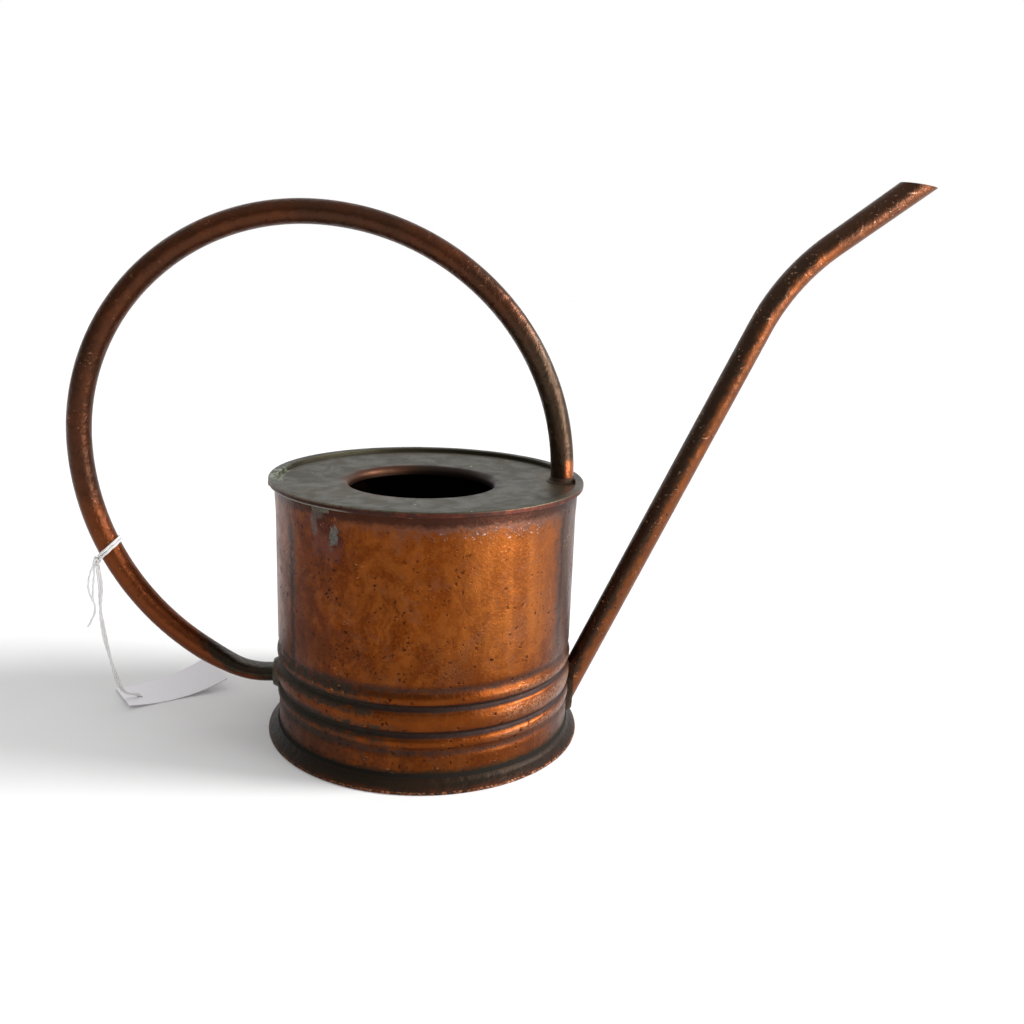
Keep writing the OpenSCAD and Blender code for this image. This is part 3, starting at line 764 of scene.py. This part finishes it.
# Pale green-white crust inside the rim by the handle's low side
crust = times(tree, between(tree, waver(tree, around, crumb, 20.0), -92, -66, 5),
              between(tree, out, 67.2, 73.9, 0.5))
colour = blend(tree, times(tree, crust, ramp(tree, crumb, 0.44, 0.58), 0.75), colour, rgb(150, 160, 138))
# The folded hem shows red-brown, with a painted highlight along its top edge
hem = times(tree, ramp(tree, up, 125.15, 124.7), ramp(tree, out, 72.6, 73.3))
hem_tone = blend(tree, stain["Mottle"], rgb(78, 34, 22), rgb(54, 32, 26))
hem_tone = blend(tree, times(tree, ramp(tree, crumb, 0.50, 0.66), 0.5), hem_tone, rgb(104, 54, 36))
colour = blend(tree, hem, colour, hem_tone)
painted_hem_highlight = times(tree, between(tree, up, 124.75, 125.25, 0.15), ramp(tree, out, 72.9, 73.3),
             ramp(tree, crumb, 0.38, 0.5))
painted_hem_highlight = times(tree, painted_hem_highlight, math(tree, "ADD", times(tree, between(tree, around, -140, -20, 28), 0.85), 0.15))
colour = blend(tree, times(tree, painted_hem_highlight, 0.7), colour, rgb(120, 108, 92))
# Where the hem has opened: painted shade in the gap, over the plate's light edge
opened = between(tree, waver(tree, around, crumb, 6.0), -66, -24, 4)
colour = blend(tree, times(tree, opened, hem, between(tree, up, 123.6, 124.5, 0.25)), colour, rgb(38, 18, 14))
colour = blend(tree, times(tree, opened, hem, ramp(tree, up, 123.6, 123.2), 0.85), colour, rgb(128, 126, 114))
tree.links.new(colour, shader.inputs["Base Color"])
shader.inputs["Metallic"].default_value = 0.8
tree.links.new(math(tree, "ADD", 0.42, times(tree, stain["Mottle"], 0.14)), shader.inputs["Roughness"])
bump(tree, shader, (noise(tree, place(tree), 30, 1, 0.4), 0.0004), (stain["Mottle"], 0.00012))
finish(lid_copper, "top_plate")

# ---------------------------------------------------------------- handle
# Copper tube bent to a ring. One end stands on the lid, the other is pressed flat and
# soldered to the drum's side.
handle_copper, tree, shader = new_material("handle copper")
axes = wire(tree, "ShaderNodeSeparateXYZ", {0: place(tree, (1000, 1000, 1000))}).outputs
stain = use(tree, patina, Size=0.6, Seed=21.0)
marks = use(tree, scratches, Seed=11.0, Share=0.4)
flecks = use(tree, pits, Spacing=300, Share=0.16, Width=0.14, Seed=9.0)
ragged = math(tree, "SUBTRACT", noise(tree, place(tree), 120, 4, 0.6, 0.8, 4.0), 0.5)
colour = blend(tree, stain["Broad"], rgb(80, 40, 16), rgb(60, 33, 17))
colour = blend(tree, times(tree, stain["Mottle"], 0.4), colour, rgb(54, 28, 14))
# Painted reflection: orange low on the back
painted_low_reflection = times(tree, ramp(tree, waver(tree, axes[2], ragged, 30.0), 124, 78), ramp(tree, axes[0], -76, -84))
colour = blend(tree, times(tree, painted_low_reflection, 0.7), colour, rgb(112, 52, 12))
# Olive grime down to the lid, with a rubbed patch at its foot
near_lid = times(tree, ramp(tree, axes[0], 18, 46), ramp(tree, waver(tree, axes[2], ragged, 40.0), 214, 178))
colour = blend(tree, times(tree, near_lid, 0.78), colour, rgb(56, 45, 32))
wear_and_highlight = times(tree, between(tree, waver(tree, axes[2], ragged, 10.0), 126.5, 134, 1.5),
               ramp(tree, axes[0], 63.5, 65.5))
colour = blend(tree, times(tree, wear_and_highlight, 0.85), colour, rgb(150, 82, 42))
# Painted shade: green-black on its upper side where it is pressed flat, and all round by the drum
low_bend_x, low_bend_z, low_bend_r = -77, 61.2, 36
sideways = math(tree, "MINIMUM", math(tree, "SUBTRACT", axes[0], low_bend_x), 0.0)
upward = math(tree, "SUBTRACT", axes[2], low_bend_z)
from_bend = math(tree, "SQRT", math(tree, "ADD", times(tree, sideways, sideways),
                                    times(tree, upward, upward)))
above = ramp(tree, waver(tree, from_bend, ragged, 6.0), low_bend_r + 1.6, low_bend_r - 0.6)
painted_low_shade = times(tree, ramp(tree, waver(tree, axes[0], ragged, 14.0), -122, -98),
                ramp(tree, axes[2], 74, 50), above)
painted_low_shade = most(tree, painted_low_shade, times(tree, ramp(tree, waver(tree, axes[0], ragged, 6.0), -78, -74),
                                    ramp(tree, axes[2], 56, 44)))
colour = blend(tree, times(tree, painted_low_shade, 0.9), colour, rgb(36, 35, 26))
colour = blend(tree, times(tree, marks["Line"], 0.35), colour, rgb(186, 132, 92))
colour = blend(tree, times(tree, flecks["Pit"], 0.7), colour, rgb(40, 24, 18))
tree.links.new(colour, shader.inputs["Base Color"])
shader.inputs["Metallic"].default_value = 0.8
shader.inputs["Roughness"].default_value = 0.34
bump(tree, shader, (stain["Mottle"], 0.0003), (flecks["Pit"], 0.0002))


def loft(name, loops, material):
    """A skin through loops of points, closed by one face at each end."""
    sides = len(loops[0])
    points = [tuple(p) for loop in loops for p in loop]
    faces = []
    for i in range(len(loops) - 1):
        for k in range(sides):
            a, b = i * sides + k, i * sides + (k + 1) % sides
            faces.append((a, b, b + sides, a + sides))
    faces += [tuple(reversed(range(sides))), tuple(range((len(loops) - 1) * sides, len(loops) * sides))]
    mesh = bpy.data.meshes.new(name)
    mesh.from_pydata(points, [], faces)
    work = bmesh.new()
    work.from_mesh(mesh)
    bmesh.ops.recalc_face_normals(work, faces=work.faces)
    work.to_mesh(mesh)
    work.free()
    mesh.polygons.foreach_set("use_smooth", [True] * len(mesh.polygons))
    mesh.set_sharp_from_angle(angle=radians(50))
    mesh.materials.append(material)
    obj = bpy.data.objects.new(name, mesh)
    bpy.context.scene.collection.objects.link(obj)
    return obj


tube_r, press_t, press_w = 5.5, 7.4, 12.2
upright_x, upright_z, low_z, lean = 63.85, 125.4, 25.2, 242.3
ring_z, top_r = ring_c.z / mm, 117.6
bends = [((upright_x - top_r, upright_z), top_r, 0, 90),
         ((upright_x - top_r, ring_z), upright_z + top_r - ring_z, 90, 180),
         ((ring_c.x / mm, ring_z), ring_r / mm, 180, lean),
         ((low_bend_x, low_bend_z), low_bend_r, lean, 270)]
middle = [(upright_x, 123.35 + 0.5 * i, 0.0) for i in range(4)]
for (x, z), r, start, end in bends:
    steps = ceil((end - start) / 1.2)
    angles = [start + (end - start) * i / steps for i in range(steps)]
    middle += [(x + r * cos(radians(a)), z + r * sin(radians(a)), a) for a in angles]
middle += [(x, low_z, 270.0) for x in (low_bend_x, -75, -73, -71.5)]
loops, left = [], sum(sqrt((b[0] - a[0]) ** 2 + (b[1] - a[1]) ** 2) for a, b in zip(middle, middle[1:]))
for i, (x, z, turn) in enumerate(middle):
    if i:
        left -= sqrt((x - middle[i - 1][0]) ** 2 + (z - middle[i - 1][1]) ** 2)
    # Round for most of its length, pressed flat over the last run to the drum
    flat = min(max((40 - left) / 24, 0), 1)
    flat = flat * flat * (3 - 2 * flat)
    loop = []
    for k in range(44):
        a = 2 * pi * k / 44
        half = tube_r + (press_t / 2 - tube_r) * flat
        thick = half * cos(a)
        wide = half * sin(a) + flat * (press_w - press_t) / 2 * tanh(5 * sin(a))
        loop.append(Vector((x + thick * cos(radians(turn)), wide, z + thick * sin(radians(turn)))) * mm)
    loops.append(loop)
handle = loft("handle_tube", loops, handle_copper)
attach(handle, "root")
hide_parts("handle")

# ---------------------------------------------------------------- spout
# A long copper tube, bent at the neck and cut nearly level at its end, soldered low on the drum.
spout_copper, tree, shader = new_material("spout copper")
axes = wire(tree, "ShaderNodeSeparateXYZ", {0: place(tree, (1000, 1000, 1000))}).outputs


def off_line(at, lean):
    """How far a point is off a leaning line, positive below it, in millimetres."""
    a = radians(lean)
    across = math(tree, "SUBTRACT", axes[0], at[0])
    upward = math(tree, "SUBTRACT", axes[2], at[1])
    return math(tree, "SUBTRACT", times(tree, across, cos(a)), times(tree, upward, sin(a)))


stain = use(tree, patina, Size=0.6, Seed=31.0)
marks = use(tree, scratches, Seed=15.0, Share=0.75)
flecks = use(tree, pits, Spacing=300, Share=0.30, Width=0.16, Seed=12.0)
ragged = math(tree, "SUBTRACT", noise(tree, place(tree), 150, 5, 0.65, 0.8, 14.0), 0.5)
neck = between(tree, axes[2], 208, 229, 9)
straight, past_neck = off_line((body_r, 16.9), 24.6), off_line((184.8, 237.4), 53)
side = math(tree, "SUBTRACT", math(tree, "MINIMUM", straight, past_neck), times(tree, neck, 2.8))
side = waver(tree, side, ragged, 9.0)
colour = blend(tree, stain["Broad"], rgb(118, 62, 24), rgb(94, 50, 22))
colour = blend(tree, times(tree, stain["Mottle"], 0.45), colour, rgb(92, 54, 32))
# Painted shade: the upper side is nearly black, with olive grime
colour = blend(tree, times(tree, ramp(tree, side, 1.0, -2.2), 0.86), colour, rgb(46, 36, 26))
tip = ramp(tree, axes[2], 232, 246)
colour = blend(tree, times(tree, tip, ramp(tree, side, 5.0, 0.0), 0.6), colour, rgb(70, 42, 26))
colour = blend(tree, times(tree, marks["Line"], 0.5), colour, rgb(196, 150, 122))
colour = blend(tree, times(tree, flecks["Pit"], 0.7), colour, rgb(38, 24, 18))
tree.links.new(colour, shader.inputs["Base Color"])
shader.inputs["Metallic"].default_value = 0.8
shader.inputs["Roughness"].default_value = 0.36
bump(tree, shader, (stain["Mottle"], 0.0003), (flecks["Pit"], 0.0002))
finish(spout_copper, "spout")

# ---------------------------------------------------------------- card tag
# A blank card with a punched hole, a little curled, lying on the floor where the string lets it.
card, tree, shader = new_material("card")
fibres = noise(tree, place(tree), 900, 4, 0.6)
tree.links.new(blend(tree, ramp(tree, fibres, 0.3, 0.7), rgb(246, 243, 248), rgb(250, 248, 251)),
               shader.inputs["Base Color"])
shader.inputs["Roughness"].default_value = 0.85
shader.inputs["Specular IOR Level"].default_value = 0.3
bump(tree, shader, (fibres, 0.00005))
finish(card, "tag")

for piece, node in ((strand, "tag_string"), (tail, "string_end"), (wrap, "string_wrap")):
    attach(piece, "root")
    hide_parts(node)


# ---------------------------------------------------------------- floor and light
# A white sheet underfoot. A broad sun comes low from the spout's side, a soft panel lights the
# drum's right front, and the room is bright behind and dim in front.
floor_mesh = bpy.data.meshes.new("floor")
floor_mesh.from_pydata([(-6, -6, 0), (6, -6, 0), (6, 6, 0), (-6, 6, 0)], [], [(0, 1, 2, 3)])
floor = bpy.data.objects.new("floor", floor_mesh)
bpy.context.scene.collection.objects.link(floor)
white, tree, shader = new_material("white floor")
shader.inputs["Base Color"].default_value = (0.8, 0.8, 0.8, 1)
shader.inputs["Roughness"].default_value = 0.9
shader.inputs["Specular IOR Level"].default_value = 0.0
light_path = wire(tree, "ShaderNodeLightPath").outputs
seen = most(tree, *(light_path[label] for label in ("Is Camera Ray", "Is Glossy Ray", "Is Transmission Ray")))
glow = wire(tree, "ShaderNodeEmission", {"Color": (1, 1, 1, 1), "Strength": times(tree, seen, 0.05)})
both = wire(tree, "ShaderNodeAddShader", {0: shader.outputs[0], 1: glow.outputs[0]})
tree.links.new(both.outputs[0], tree.nodes["Material Output"].inputs["Surface"])
floor_mesh.materials.append(white)
floor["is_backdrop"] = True

world = bpy.data.worlds.new("studio")
bpy.context.scene.world = world
world.use_nodes = True
tree = world.node_tree
light_path = wire(tree, "ShaderNodeLightPath").outputs
way = wire(tree, "ShaderNodeSeparateXYZ", {0: wire(tree, "ShaderNodeTexCoord").outputs["Generated"]}).outputs
room = most(tree, ramp(tree, way[1], -0.1, 0.7, 0.2, 1.0), ramp(tree, way[2], 0.2, 0.85, 0.18, 0.72))
seen = most(tree, light_path["Is Camera Ray"], light_path["Is Transmission Ray"])
level = math(tree, "ADD", times(tree, math(tree, "SUBTRACT", 1.0, seen), room), seen)
tree.links.new(level, tree.nodes["Background"].inputs["Strength"])
tree.nodes["Background"].inputs["Color"].default_value = (1, 1, 1, 1)

sun = bpy.data.objects.new("key", bpy.data.lights.new("key", "SUN"))
sun.data.energy = 4.5
sun.data.angle = radians(20)
sun.matrix_world = Vector((0.99, -0.06, 0.47)).to_track_quat("Z", "Y").to_matrix().to_4x4()
bpy.context.scene.collection.objects.link(sun)

panel = bpy.data.objects.new("low panel", bpy.data.lights.new("low panel", "AREA"))
panel.data.shape = "RECTANGLE"
panel.data.size = 0.5
panel.data.size_y = 0.42
panel.data.energy = 10
panel_at, panel_faces = Vector((0.92, -0.52, 0.22)), Vector((0.92, -0.52, 0.1))
panel.matrix_world = Matrix.Translation(panel_at) @ panel_faces.to_track_quat("Z", "Y").to_matrix().to_4x4()
bpy.context.scene.collection.objects.link(panel)

bpy.context.scene.view_settings.view_transform = "Standard"
low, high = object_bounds()
